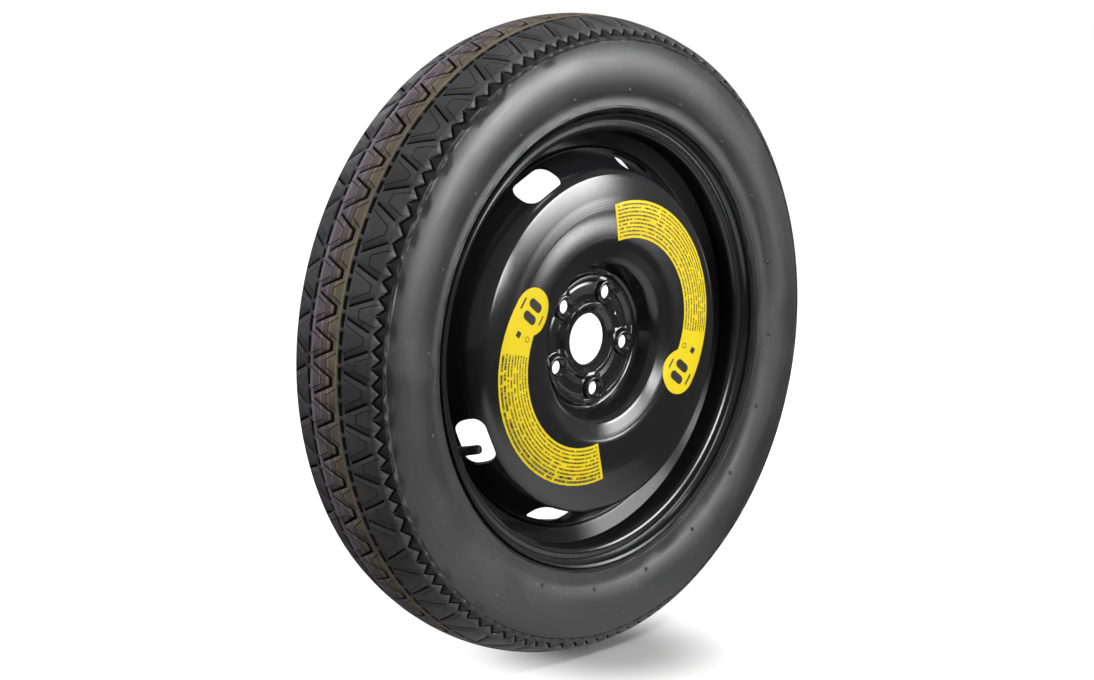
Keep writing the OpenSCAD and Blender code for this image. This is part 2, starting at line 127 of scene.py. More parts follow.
under_wheel = floor_level((0.0, 0.0, 0.0), 0.35, 1.1, 0.84, 1.0)
# Painted shadow: the floor's glow seen by the camera dims to a dark foot under the tyre.
painted_foot_shadow = floor_level((0.02, -0.03, 0.0), 0.03, 0.18, 0.05, 1.0, "SMOOTHSTEP")
# Painted reflection: a patch of floor glows for gloss rays alone, standing in for lit floor.
painted_reflection_patch = floor_level((-0.05, -0.48, 0.0), 0.28, 0.62, 1.35, 0.12)
seen = floor_rays.outputs["Is Camera Ray"]
for level in (under_wheel, painted_foot_shadow):
    product = nodes.new("ShaderNodeMath")
    product.operation = "MULTIPLY"
    links.new(seen, product.inputs[0])
    links.new(level, product.inputs[1])
    seen = product.outputs[0]
links.new(seen, floor_glow.inputs["Strength"])
links.new(painted_reflection_patch, floor_mirrored.inputs["Strength"])
links.new(floor_matt.outputs[0], floor_sum.inputs[0])
links.new(floor_glow.outputs[0], floor_sum.inputs[1])
links.new(floor_rays.outputs["Is Glossy Ray"], floor_mix.inputs["Fac"])
links.new(floor_sum.outputs[0], floor_mix.inputs[1])
links.new(floor_mirrored.outputs[0], floor_mix.inputs[2])
links.new(floor_mix.outputs[0], floor_out.inputs["Surface"])
floor.data.materials.append(floor_paint)

# The studio. It is white to the camera, dim to the matt surfaces and nearly as
# dim in the gloss paint.
world = bpy.data.worlds.new("studio")
scene.world = world
world.use_nodes = True
nodes = world.node_tree.nodes
links = world.node_tree.links
nodes.clear()
world_out = nodes.new("ShaderNodeOutputWorld")
world_mix = nodes.new("ShaderNodeMixShader")
world_dim = nodes.new("ShaderNodeBackground")
world_dim.inputs["Color"].default_value = (1.0, 1.0, 1.0, 1.0)
world_white = nodes.new("ShaderNodeBackground")
world_white.inputs["Color"].default_value = (1.0, 1.0, 1.0, 1.0)
world_white.inputs["Strength"].default_value = 1.0
world_rays = nodes.new("ShaderNodeLightPath")
world_level = nodes.new("ShaderNodeMapRange")
world_level.inputs["To Min"].default_value = 0.30
world_level.inputs["To Max"].default_value = 0.34
links.new(world_rays.outputs["Is Glossy Ray"], world_level.inputs["Value"])
links.new(world_level.outputs[0], world_dim.inputs["Strength"])
links.new(world_rays.outputs["Is Camera Ray"], world_mix.inputs["Fac"])
links.new(world_dim.outputs[0], world_mix.inputs[1])
links.new(world_white.outputs[0], world_mix.inputs[2])
links.new(world_mix.outputs[0], world_out.inputs["Surface"])


# The lamps are soft boxes: a tall one to the front right, one above the front,
# one on the left for the tread and one behind. They light the matt surfaces. The
# gloss paint shows the cards below instead, bright planes with soft edges.
def soft_box(name, place, width, height, power):
    lamp = bpy.data.lights.new(name, "AREA")
    lamp.shape = "RECTANGLE"
    lamp.size = width
    lamp.size_y = height
    lamp.energy = power
    box = bpy.data.objects.new(name, lamp)
    scene.collection.objects.link(box)
    turn = (-Vector(place)).to_track_quat("-Z", "Y").to_matrix().to_4x4()
    box.matrix_world = Matrix.Translation(Vector(place)) @ turn
    box.visible_glossy = False


soft_box("key_box", place=(1.75, -2.60, 0.55), width=0.8, height=1.5, power=95.0)
soft_box("front_top_box", place=(0.35, -1.75, 2.6), width=1.5, height=0.8, power=70.0)
soft_box("left_box", place=(-3.0, -0.6, 1.2), width=1.2, height=1.2, power=48.0)
soft_box("back_box", place=(-1.1, 2.8, 1.3), width=1.6, height=1.0, power=55.0)


def card(name, place, width, height, strength, soft_side, soft_foot, soft_top):
    """A plane turned to the wheel that only the paint shows, with fading edges."""
    bpy.ops.object.select_all(action="DESELECT")
    bpy.ops.mesh.primitive_plane_add(size=1.0)
    plane = bpy.context.object
    plane.name = name
    turn = (-Vector(place)).to_track_quat("Z", "Y").to_matrix().to_4x4()
    plane.matrix_world = (Matrix.Translation(Vector(place)) @ turn
                          @ Matrix.Diagonal((width, height, 1.0, 1.0)))
    paint = bpy.data.materials.new(name)
    paint.use_nodes = True
    nodes = paint.node_tree.nodes
    links = paint.node_tree.links
    nodes.clear()
    out = nodes.new("ShaderNodeOutputMaterial")
    glow = nodes.new("ShaderNodeEmission")
    spot = nodes.new("ShaderNodeTexCoord")
    split = nodes.new("ShaderNodeSeparateXYZ")
    links.new(spot.outputs["Object"], split.inputs[0])
    level = None
    for axis, end, soft in ((0, -0.5, soft_side), (0, 0.5, soft_side), (1, -0.5, soft_foot),
                            (1, 0.5, soft_top)):
        edge = nodes.new("ShaderNodeMapRange")
        edge.interpolation_type = "SMOOTHSTEP"
        edge.inputs["From Min"].default_value = end
        edge.inputs["From Max"].default_value = end - math.copysign(soft, end)
        links.new(split.outputs[axis], edge.inputs["Value"])
        step = nodes.new("ShaderNodeMath")
        step.operation = "MULTIPLY"
        links.new(edge.outputs[0], step.inputs[0])
        if level is None:
            step.inputs[1].default_value = strength
        else:
            links.new(level, step.inputs[1])
        level = step.outputs[0]
    links.new(level, glow.inputs["Strength"])
    links.new(glow.outputs[0], out.inputs["Surface"])
    plane.data.materials.append(paint)
    plane.visible_camera = False
    plane.visible_diffuse = False
    plane.visible_shadow = False
    plane.visible_transmission = False


# The key card lights the dome, the recess card the far wall of the hub recess and
# the low card the crest of the dome. The others give faint lines on rim and back.
# Each has its place, width, height and strength, and how far its sides, foot and
# top fade, as shares of its size.
for name, place, width, height, strength, soft_side, soft_foot, soft_top in (
        ("key_card", (0.74, -1.12, 0.33), 0.84, 0.66, 23.0, 0.26, 0.65, 0.16),
        ("recess_card", (0.38, -1.29, 0.13), 0.42, 0.32, 22.0, 0.3, 0.35, 0.35),
        ("low_card", (1.03, -1.10, -0.04), 0.34, 0.30, 19.0, 0.5, 0.5, 0.5),
        ("right_card", (1.47, -0.31, 0.02), 0.30, 0.35, 1.6, 0.4, 0.4, 0.4),
        ("back_card", (0.50, 1.60, 0.75), 0.90, 0.50, 4.0, 0.4, 0.4, 0.3),
        ("top_card", (0.15, -0.90, 1.40), 0.50, 0.40, 5.0, 0.3, 0.3, 0.3)):
    card(name, place, width, height, strength, soft_side, soft_foot, soft_top)


# Rim and disc. They are pressed steel, welded together and then painted gloss
# black all over. The CAD shapes stay. The paint gets a faint waviness, a fine
# grain and slow changes of gloss.
def wave_group():
    """Fine surface relief: a height and a slow change of colour."""
    tree = bpy.data.node_groups.new("fine_relief", "ShaderNodeTree")
    face = tree.interface
    for label, kind, value in (("Grain Size", "NodeSocketFloat", 900.0),
                               ("Wave Size", "NodeSocketFloat", 60.0)):
        item = face.new_socket(name=label, in_out="INPUT", socket_type=kind)
        item.default_value = value
    face.new_socket(name="Grain", in_out="OUTPUT", socket_type="NodeSocketFloat")
    face.new_socket(name="Wave", in_out="OUTPUT", socket_type="NodeSocketFloat")
    start = tree.nodes.new("NodeGroupInput")
    end = tree.nodes.new("NodeGroupOutput")
    where = tree.nodes.new("ShaderNodeTexCoord")
    for label, detail in (("Grain", 3.0), ("Wave", 2.0)):
        noise = tree.nodes.new("ShaderNodeTexNoise")
        noise.inputs["Detail"].default_value = detail
        tree.links.new(where.outputs["Object"], noise.inputs["Vector"])
        tree.links.new(start.outputs[label + " Size"], noise.inputs["Scale"])
        tree.links.new(noise.outputs[0], end.inputs[label])
    return tree


fine_relief = wave_group()


def new_material(name, roughness, metallic=0.0, specular=0.5):
    """A node material with its Principled shader, ready for links."""
    material = bpy.data.materials.new(name)
    material.use_nodes = True
    shader = material.node_tree.nodes["Principled BSDF"]
    shader.inputs["Roughness"].default_value = roughness
    shader.inputs["Metallic"].default_value = metallic
    shader.inputs["Specular IOR Level"].default_value = specular
    return material, material.node_tree.nodes, material.node_tree.links, shader


def add_relief(material, grain_size, wave_size):
    relief = material.node_tree.nodes.new("ShaderNodeGroup")
    relief.node_tree = fine_relief
    relief.inputs["Grain Size"].default_value = grain_size
    relief.inputs["Wave Size"].default_value = wave_size
    return relief


def blend_colour(nodes, links, factor, low, high):
    """A mix of two colours by a socket's value."""
    mix = nodes.new("ShaderNodeMix")
    mix.data_type = "RGBA"
    links.new(factor, mix.inputs[0])
    for socket, value in ((mix.inputs[6], low), (mix.inputs[7], high)):
        if isinstance(value, tuple):
            socket.default_value = (*value, 1.0)
        else:
            links.new(value, socket)
    return mix.outputs[2]


def span(nodes, links, value, low, high, to_low=0.0, to_high=1.0):
    """A value carried from one range to another, clamped."""
    scale = nodes.new("ShaderNodeMapRange")
    scale.inputs["From Min"].default_value = low
    scale.inputs["From Max"].default_value = high
    scale.inputs["To Min"].default_value = to_low
    scale.inputs["To Max"].default_value = to_high
    links.new(value, scale.inputs["Value"])
    return scale.outputs[0]


def bump(nodes, links, shader, height, strength, distance, normal=None):
    node = nodes.new("ShaderNodeBump")
    node.inputs["Strength"].default_value = strength
    node.inputs["Distance"].default_value = distance
    links.new(height, node.inputs["Height"])
    if normal is not None:
        links.new(normal, node.inputs["Normal"])
    if shader is not None:
        links.new(node.outputs[0], shader.inputs["Normal"])
    return node.outputs[0]


def maths(nodes, links, operation, a, b=None, c=None):
    node = nodes.new("ShaderNodeMath")
    node.operation = operation
    for socket, value in zip(node.inputs, (a, b, c)):
        if isinstance(value, (int, float)):
            socket.default_value = value
        elif value is not None:
            links.new(value, socket)
    return node.outputs[0]


def polar(nodes, links):
    """Radius in mm, angle from +X towards +Z, and the place along the axle in mm."""
    spot = nodes.new("ShaderNodeTexCoord")
    split = nodes.new("ShaderNodeSeparateXYZ")
    links.new(spot.outputs["Object"], split.inputs[0])
    x, y, z = [maths(nodes, links, "MULTIPLY", split.outputs[axis], 1000.0) for axis in (0, 1, 2)]
    radius = maths(nodes, links, "SQRT", maths(
        nodes, links, "ADD", maths(nodes, links, "MULTIPLY", x, x),
        maths(nodes, links, "MULTIPLY", z, z)))
    return radius, maths(nodes, links, "ARCTAN2", z, x), y


black_paint, nodes, links, paint = new_material("black_paint", 0.14)
relief = add_relief(black_paint, 420.0, 34.0)
links.new(blend_colour(nodes, links, relief.outputs["Wave"], (0.006, 0.006, 0.0065),
                       (0.010, 0.010, 0.0108)), paint.inputs["Base Color"])
links.new(span(nodes, links, relief.outputs["Grain"], 0.3, 0.7, 0.11, 0.17),
          paint.inputs["Roughness"])
# The hub pad has a low land between its two ridges and a soft collar round each
# of the five bolt seats, both too shallow to be more than a change of slope.
# These sizes are in mm.
bolt_circle_r = 56.0
first_bolt = math.radians(206.0)
half_bolt_pitch = math.radians(36.0)
land_foot_in, land_top_in, land_top_out, land_foot_out = 43.5, 50.0, 60.0, 66.0
collar_from, collar_to, collar_rise = 20.5, 14.0, 1.6
radius, angle, y = polar(nodes, links)
fold = maths(nodes, links, "PINGPONG", maths(nodes, links, "SUBTRACT", angle, first_bolt),
             half_bolt_pitch)
bolt_gap = maths(nodes, links, "SQRT", maths(nodes, links, "ADD", maths(
    nodes, links, "MULTIPLY_ADD", radius, radius, bolt_circle_r ** 2), maths(
        nodes, links, "MULTIPLY", maths(nodes, links, "MULTIPLY", radius, -2.0 * bolt_circle_r),
        maths(nodes, links, "COSINE", fold))))
land = maths(nodes, links, "MULTIPLY",
             span(nodes, links, radius, land_foot_in, land_top_in),
             span(nodes, links, radius, land_foot_out, land_top_out))
pad_form = maths(nodes, links, "MAXIMUM", land,
                 span(nodes, links, bolt_gap, collar_from, collar_to, 0.0, collar_rise))
pad_form = maths(nodes, links, "MULTIPLY", pad_form, span(nodes, links, y, -2.0, -3.0))
land_normal = bump(nodes, links, None, pad_form, 1.0, 0.0016)

# Between the disc's outer wall and the rim's seat the paint is dull with overspray.
channel = maths(nodes, links, "MULTIPLY", span(nodes, links, radius, 206.0, 214.0),
                span(nodes, links, y, -24.0, -20.0))
links.new(span(nodes, links, channel, 0.0, 1.0, 0.5, 0.14), paint.inputs["Specular IOR Level"])

# The press leaves the bend of the dome softer than the drawn arc: it reaches
# further to both sides and turns more slowly.
bend_r = 152.5
bend_turn = math.radians(13.2)
pressed_reach, drawn_reach = 36.0, 6.9
bend_off = maths(nodes, links, "ABSOLUTE", maths(nodes, links, "SUBTRACT", radius, bend_r))
squares = []
for reach, sign in ((pressed_reach, 1.0), (drawn_reach, -1.0)):
    near = maths(nodes, links, "MAXIMUM", maths(nodes, links, "SUBTRACT", reach, bend_off), 0.0)
    squares.append(maths(nodes, links, "MULTIPLY", maths(nodes, links, "MULTIPLY", near, near),
                         sign * bend_turn / 4.0 / reach))
hollow = maths(nodes, links, "ADD", squares[0], squares[1])
skin = nodes.new("ShaderNodeNewGeometry")
skin_split = nodes.new("ShaderNodeSeparateXYZ")
links.new(skin.outputs["True Normal"], skin_split.inputs[0])
outer_skin = maths(nodes, links, "LESS_THAN", skin_split.outputs["Y"], 0.0)
dome_form = maths(nodes, links, "MULTIPLY", maths(nodes, links, "MULTIPLY", hollow, -1.0),
                  outer_skin)
dome_normal = bump(nodes, links, None, dome_form, 1.0, 0.001, land_normal)
bump(nodes, links, paint, relief.outputs["Grain"], 0.02, 0.0003, dome_normal)


def wear(name, material):
    """Gives a CAD node its finish."""
    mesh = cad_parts[name].data
    mesh.materials.clear()
    mesh.materials.append(material)


wear("rim", black_paint)
wear("wheel_disc", black_paint)

# Weld seams. Four beads of weld metal join the disc's flange to the drop centre.
# They are laid in short steps and painted over with the rest.
weld_paint, nodes, links, weld = new_material("weld_paint", 0.34)
relief = add_relief(weld_paint, 260.0, 90.0)
links.new(blend_colour(nodes, links, relief.outputs["Wave"], (0.008, 0.008, 0.008),
                       (0.016, 0.015, 0.014)), weld.inputs["Base Color"])
bump(nodes, links, weld, relief.outputs["Wave"], 0.6, 0.001)
wear("weld_seams", weld_paint)

# Tyre. It is one moulding of dark rubber with a treaded crown. Its solid is
# copied, its points are merged, and it gets a map that counts tread teeth.
pitch_mix = "LSLSSSSSLSSLSLSSSLSSLSSSLSSLSSLSSSSSSL"
long_pitch = 1.25
tread_start = 128.65
teeth_per_pitch = 3.0
shares = [long_pitch if letter == "L" else 1.0 for letter in pitch_mix]
short_angle = 360.0 / sum(shares)
pitch_starts = [tread_start]
for share in shares:
    pitch_starts.append(pitch_starts[-1] + short_angle * share)


def tooth_place(angle):
    """The place round the tread, counted in teeth, at an angle in degrees."""
    angle = tread_start + (angle - tread_start) % 360.0
    for index, share in enumerate(shares):
        if angle <= pitch_starts[index + 1]:
            part = (angle - pitch_starts[index]) / (short_angle * share)
            return teeth_per_pitch * (index + part)
    return teeth_per_pitch * len(shares)


def merged_copy(node, name, threshold):
    """A copy of a CAD node's mesh with its loose points merged, left selected."""
    piece = bpy.data.objects.new(name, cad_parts[node].data.copy())
    scene.collection.objects.link(piece)
    bpy.ops.object.select_all(action="DESELECT")
    piece.select_set(True)
    bpy.context.view_layer.objects.active = piece
    bpy.ops.object.mode_set(mode="EDIT")
    bpy.ops.mesh.select_all(action="SELECT")
    bpy.ops.mesh.remove_doubles(threshold=threshold)
    bpy.ops.object.mode_set(mode="OBJECT")
    return piece


tyre = merged_copy("tyre", "tyre_rubber", 0.00002)
tyre_mesh = tyre.data
bpy.ops.object.shade_smooth_by_angle(angle=math.radians(28.0))
teeth_round = teeth_per_pitch * len(shares)
map_scale = 100.0
tooth_map = tyre_mesh.uv_layers.new(name="teeth")
places = [tooth_place(math.degrees(math.atan2(v.co.z, v.co.x))) for v in tyre_mesh.vertices]
for polygon in tyre_mesh.polygons:
    first = places[tyre_mesh.loops[polygon.loop_start].vertex_index]
    for loop_index in polygon.loop_indices:
        vertex = tyre_mesh.vertices[tyre_mesh.loops[loop_index].vertex_index]
        place = places[vertex.index]
        if place - first > teeth_round / 2.0:
            place -= teeth_round
        elif first - place > teeth_round / 2.0:
            place += teeth_round
        tooth_map.data[loop_index].uv = (place / map_scale, vertex.co.y)
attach(tyre, "wheel")
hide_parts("tyre")


def line_group():
    """A thin straight cut from one point to another: 1 on it, 0 beside it."""
    tree = bpy.data.node_groups.new("thin_cut", "ShaderNodeTree")
    face = tree.interface
    for label in ("Place", "From", "To"):
        face.new_socket(name=label, in_out="INPUT", socket_type="NodeSocketVector")
    face.new_socket(name="Width", in_out="INPUT", socket_type="NodeSocketFloat")
    face.new_socket(name="Mask", in_out="OUTPUT", socket_type="NodeSocketFloat")
    start = tree.nodes.new("NodeGroupInput")
    end = tree.nodes.new("NodeGroupOutput")

    def vector(operation, a, b, out=0):
        node = tree.nodes.new("ShaderNodeVectorMath")
        node.operation = operation
        tree.links.new(a, node.inputs[0])
        if operation == "SCALE":
            tree.links.new(b, node.inputs["Scale"])
        elif b is not None:
            tree.links.new(b, node.inputs[1])
        return node.outputs[out]

    way = vector("SUBTRACT", start.outputs["To"], start.outputs["From"])
    here = vector("SUBTRACT", start.outputs["Place"], start.outputs["From"])
    share = tree.nodes.new("ShaderNodeMath")
    share.operation = "DIVIDE"
    share.use_clamp = True
    tree.links.new(vector("DOT_PRODUCT", here, way, 1), share.inputs[0])
    tree.links.new(vector("DOT_PRODUCT", way, way, 1), share.inputs[1])
    gap = vector("LENGTH", vector("SUBTRACT", here, vector("SCALE", way, share.outputs[0])),
                 None, 1)
    edge = tree.nodes.new("ShaderNodeMath")
    edge.operation = "DIVIDE"
    tree.links.new(gap, edge.inputs[0])
    tree.links.new(start.outputs["Width"], edge.inputs[1])
    fade = tree.nodes.new("ShaderNodeMapRange")
    fade.interpolation_type = "SMOOTHSTEP"
    fade.inputs["From Min"].default_value = 0.30
    fade.inputs["From Max"].default_value = 0.62
    fade.inputs["To Min"].default_value = 1.0
    fade.inputs["To Max"].default_value = 0.0
    tree.links.new(edge.outputs[0], fade.inputs["Value"])
    tree.links.new(fade.outputs[0], end.inputs["Mask"])
    return tree


thin_cut = line_group()
tyre_rubber, nodes, links, rubber = new_material("tyre_rubber", 0.5)
relief = add_relief(tyre_rubber, 1400.0, 26.0)
tooth_uv = nodes.new("ShaderNodeUVMap")
tooth_uv.uv_map = "teeth"
split = nodes.new("ShaderNodeSeparateXYZ")
links.new(tooth_uv.outputs[0], split.inputs[0])
# The tooth count, and the distance from the middle of the tread in mm.
tread_middle = 29.0
tooth_mm = 18.7
tooth = maths(nodes, links, "MULTIPLY", split.outputs[0], map_scale)
across = maths(nodes, links, "MULTIPLY_ADD", split.outputs[1], 1000.0, -tread_middle)


def folded(period_half, shift):
    """A place on the crown in mm, folded about the middle of each block."""
    fold = maths(nodes, links, "PINGPONG", maths(nodes, links, "ADD", tooth, shift),
                 period_half)
    join = nodes.new("ShaderNodeCombineXYZ")
    links.new(maths(nodes, links, "MULTIPLY", fold, tooth_mm), join.inputs[0])
    links.new(across, join.inputs[1])
    return join.outputs[0]


arrow_place = folded(1.0, 0.0)
gap_place = folded(1.0, 1.0)
block_place = folded(1.5, 0.0)
wide_place = folded(1.5, 1.5)
# Thin cuts of the blocks: the folded place, from tooth and mm across, to them.
thin_cuts = (
    (arrow_place, 0.25, 3.0, 0.65, 20.5), (arrow_place, 0.0, 3.0, 0.25, 3.0),
    (gap_place, 0.62, -18.0, 0.22, -5.0), (gap_place, 0.0, -5.0, 0.22, -5.0),
    (block_place, 0.65, -57.0, 0.27, -40.3), (block_place, 0.0, -40.3, 0.27, -40.3),
    (wide_place, 0.8, -28.0, 0.2, -48.0), (wide_place, 0.0, -48.0, 0.2, -48.0),
    (block_place, 0.78, 28.0, 1.46, 53.0), (block_place, 0.52, 57.0, 0.2, 42.0),
    (block_place, 0.0, 42.0, 0.2, 42.0))
cut_width = 1.1
cuts = None
for place, from_tooth, from_mm, to_tooth, to_mm in thin_cuts:
    line = nodes.new("ShaderNodeGroup")
    line.node_tree = thin_cut
    links.new(place, line.inputs["Place"])
    line.inputs["From"].default_value = (from_tooth * tooth_mm, from_mm, 0.0)
    line.inputs["To"].default_value = (to_tooth * tooth_mm, to_mm, 0.0)
    line.inputs["Width"].default_value = cut_width
    cuts = line.outputs[0] if cuts is None else maths(nodes, links, "MAXIMUM", cuts,
                                                      line.outputs[0])

# Streaks and stains run round the sidewalls. The grooves of the tread get painted shade,
# and the steps outside the zigzag of each shoulder are painted dark as its shade.
radius, angle, y = polar(nodes, links)
streak_place = nodes.new("ShaderNodeCombineXYZ")
for socket, value, size in ((0, maths(nodes, links, "COSINE", angle), 1.6),
                            (1, maths(nodes, links, "SINE", angle), 1.6), (2, radius, 0.16)):
    links.new(maths(nodes, links, "MULTIPLY", value, size), streak_place.inputs[socket])
streaks = nodes.new("ShaderNodeTexNoise")
streaks.inputs["Scale"].default_value = 3.2
streaks.inputs["Detail"].default_value = 5.0
links.new(streak_place.outputs[0], streaks.inputs["Vector"])
stains = nodes.new("ShaderNodeTexNoise")
stains.inputs["Scale"].default_value = 16.0
stains.inputs["Detail"].default_value = 6.0
stain_spot = nodes.new("ShaderNodeTexCoord")
links.new(stain_spot.outputs["Object"], stains.inputs["Vector"])

# How deep a point lies under the crown or under the shoulder's slope, in mm.
crown_r, crown_fall, crown_half = 351.85, 11.1, 52.9
slope_r, slope_out = 338.64, 55.89
saw_r, saw_out = 333.87, 60.31
slope_cos, slope_sin = 0.680, 0.733
wall_edge_r = 327.4
across_out = maths(nodes, links, "ABSOLUTE", across)
crown_deep = maths(nodes, links, "SUBTRACT", maths(
    nodes, links, "MULTIPLY_ADD", maths(nodes, links, "MULTIPLY", across, across),
    -crown_fall / crown_half ** 2, crown_r), radius)
shoulder_deep = maths(nodes, links, "ADD", maths(
    nodes, links, "MULTIPLY", maths(nodes, links, "SUBTRACT", slope_r, radius), slope_cos),
    maths(nodes, links, "MULTIPLY", maths(nodes, links, "SUBTRACT", slope_out, across_out),
          slope_sin))
on_tread = span(nodes, links, radius, wall_edge_r, wall_edge_r + 1.2)
# The grooves' mask: it paints shade into their colour and dulls them.
deep = maths(nodes, links, "MULTIPLY", on_tread, span(nodes, links, maths(
    nodes, links, "MINIMUM", crown_deep, shoulder_deep), 0.2, 1.1))

# How far down the shoulder's slope a point lies, against the zigzag's edge.
down_slope = maths(nodes, links, "ADD", maths(
    nodes, links, "MULTIPLY", maths(nodes, links, "SUBTRACT", across_out, saw_out), slope_cos),
    maths(nodes, links, "MULTIPLY", maths(nodes, links, "SUBTRACT", saw_r, radius), slope_sin))
saw_rise, saw_low = 16.8, -2.4
saw = maths(nodes, links, "MULTIPLY_ADD", maths(nodes, links, "PINGPONG", tooth, 0.5),
            saw_rise, saw_low)
below_saw = maths(nodes, links, "MULTIPLY", span(nodes, links, maths(
    nodes, links, "SUBTRACT", down_slope, saw), -0.6, 0.2),
    span(nodes, links, radius, 326.0, 327.0))
below_saw = maths(nodes, links, "MULTIPLY", below_saw, span(nodes, links, across_out, 50.0, 54.0))
on_wall = span(nodes, links, radius, wall_edge_r, wall_edge_r - 2.0)
wall_colour = blend_colour(nodes, links, span(nodes, links, streaks.outputs[0], 0.35, 0.65),
                           (0.0125, 0.0125, 0.013), (0.021, 0.021, 0.0215))
wall_colour = blend_colour(nodes, links, span(nodes, links, stains.outputs[0], 0.52, 0.72, 0.0, 0.55),
                           wall_colour, (0.034, 0.034, 0.034))
tread_colour = blend_colour(nodes, links, span(nodes, links, stains.outputs[0], 0.35, 0.65),
                            (0.030, 0.030, 0.031), (0.052, 0.052, 0.053))


def stripe(middle, width, soft):
    """1 in a band round the tread at a distance across, 0 outside it."""
    off = maths(nodes, links, "ABSOLUTE", maths(nodes, links, "SUBTRACT", across, middle))
    return span(nodes, links, off, width + soft, width - soft)


# Faint marking bands of lilac and olive run round the middle of the tread. Each has
# its middle, half width and soft edge in mm, and its colour.
tint_noise = span(nodes, links, relief.outputs["Wave"], 0.3, 0.7, 0.35, 1.0)
for middle, width, soft, tint in ((0.0, 20.2, 1.0, (0.092, 0.074, 0.066)),
                                  (12.0, 8.0, 4.0, (0.098, 0.080, 0.094)),
                                  (-14.0, 5.0, 4.0, (0.108, 0.092, 0.060)),
                                  (4.0, 0.8, 0.6, (0.21, 0.180, 0.22)),
                                  (17.5, 1.6, 0.9, (0.19, 0.160, 0.21)),
                                  (-7.0, 1.0, 0.7, (0.20, 0.165, 0.090)),
                                  (-18.6, 0.8, 0.6, (0.20, 0.170, 0.095))):
    amount = maths(nodes, links, "MULTIPLY", stripe(middle, width, soft), tint_noise)
    tread_colour = blend_colour(nodes, links, amount, tread_colour, tint)
colour = blend_colour(nodes, links, on_wall, tread_colour, wall_colour)

# Dust, the cuts, the painted shade beside the zigzag and the painted shade of the grooves.
dust = nodes.new("ShaderNodeTexNoise")
dust.inputs["Scale"].default_value = 240.0
dust.inputs["Detail"].default_value = 2.0
links.new(stain_spot.outputs["Object"], dust.inputs["Vector"])
flecks = maths(nodes, links, "MULTIPLY", span(nodes, links, dust.outputs[0], 0.66, 0.74, 0.0, 0.6),
               span(nodes, links, stains.outputs[0], 0.42, 0.60))
colour = blend_colour(nodes, links, flecks, colour, (0.11, 0.11, 0.11))
colour = blend_colour(nodes, links, cuts, colour, (0.006, 0.006, 0.006))
# Painted shade: the steps below the zigzag and the grooves are darkened in the colour.
colour = blend_colour(nodes, links, maths(nodes, links, "MULTIPLY", below_saw, 0.85), colour,
                      (0.007, 0.007, 0.007))
colour = blend_colour(nodes, links, maths(nodes, links, "MULTIPLY", deep, 0.93), colour,
                      (0.003, 0.003, 0.003))
links.new(colour, rubber.inputs["Base Color"])

# The sidewalls have a satin sheen, the tread is duller and the grooves are dull.
wall_rough = maths(nodes, links, "ADD", span(nodes, links, streaks.outputs[0], 0.3, 0.7, 0.34, 0.42),
                   span(nodes, links, stains.outputs[0], 0.4, 0.7, -0.02, 0.06))
tread_rough = span(nodes, links, stains.outputs[0], 0.3, 0.7, 0.46, 0.60)
rough_mix = nodes.new("ShaderNodeMix")
links.new(on_wall, rough_mix.inputs[0])
links.new(tread_rough, rough_mix.inputs[2])
links.new(wall_rough, rough_mix.inputs[3])
links.new(maths(nodes, links, "MAXIMUM", rough_mix.outputs[0],
                maths(nodes, links, "MULTIPLY", deep, 0.9)), rubber.inputs["Roughness"])

# The mould's vents leave a small pip every 18 degrees on the sidewalls.
pip_circle_r = 272.0
half_pip_pitch = math.radians(9.0)
pip_shift = 7.0
pip_arc = maths(nodes, links, "MULTIPLY", maths(
    nodes, links, "PINGPONG", maths(nodes, links, "ADD", angle, pip_shift), half_pip_pitch), radius)
pip_off = maths(nodes, links, "SUBTRACT", radius, pip_circle_r)
pip_gap = maths(nodes, links, "SQRT", maths(
    nodes, links, "ADD", maths(nodes, links, "MULTIPLY", pip_arc, pip_arc),
    maths(nodes, links, "MULTIPLY", pip_off, pip_off)))
pip_normal = bump(nodes, links, None, span(nodes, links, pip_gap, 2.6, 0.6), 1.0, 0.0012)
cut_normal = bump(nodes, links, None, maths(nodes, links, "SUBTRACT", 0.0, cuts), 0.8, 0.0008,
                  pip_normal)
bump(nodes, links, rubber, relief.outputs["Grain"], 0.12, 0.0004, cut_normal)
tyre_mesh.materials.clear()
tyre_mesh.materials.append(tyre_rubber)

# Valve. It snaps into the rim: a moulded rubber body on a brass stem, closed by a
# plastic cap with a ribbed grip. The core inside is brass with rubber seals.
valve_rubber, nodes, links, rubber = new_material("valve_rubber", 0.42)
relief = add_relief(valve_rubber, 1600.0, 120.0)
links.new(blend_colour(nodes, links, relief.outputs["Wave"], (0.012, 0.012, 0.012),
                       (0.022, 0.022, 0.022)), rubber.inputs["Base Color"])
bump(nodes, links, rubber, relief.outputs["Grain"], 0.2, 0.0003)
cap_plastic, nodes, links, plastic = new_material("cap_plastic", 0.28)
relief = add_relief(cap_plastic, 2200.0, 150.0)
links.new(blend_colour(nodes, links, relief.outputs["Wave"], (0.008, 0.008, 0.008),
                       (0.015, 0.015, 0.015)), plastic.inputs["Base Color"])
bump(nodes, links, plastic, relief.outputs["Grain"], 0.1, 0.0002)
brass, nodes, links, metal = new_material("brass", 0.25, metallic=1.0)
relief = add_relief(brass, 3000.0, 300.0)
links.new(blend_colour(nodes, links, relief.outputs["Wave"], (0.66, 0.46, 0.20),
                       (0.80, 0.60, 0.29)), metal.inputs["Base Color"])
links.new(span(nodes, links, relief.outputs["Grain"], 0.3, 0.7, 0.18, 0.34),
          metal.inputs["Roughness"])
red_seal, nodes, links, seal = new_material("red_seal", 0.5)
relief = add_relief(red_seal, 3000.0, 200.0)
links.new(blend_colour(nodes, links, relief.outputs["Wave"], (0.42, 0.04, 0.03),
                       (0.55, 0.06, 0.05)), seal.inputs["Base Color"])
spring_steel, nodes, links, metal = new_material("spring_steel", 0.3, metallic=1.0)
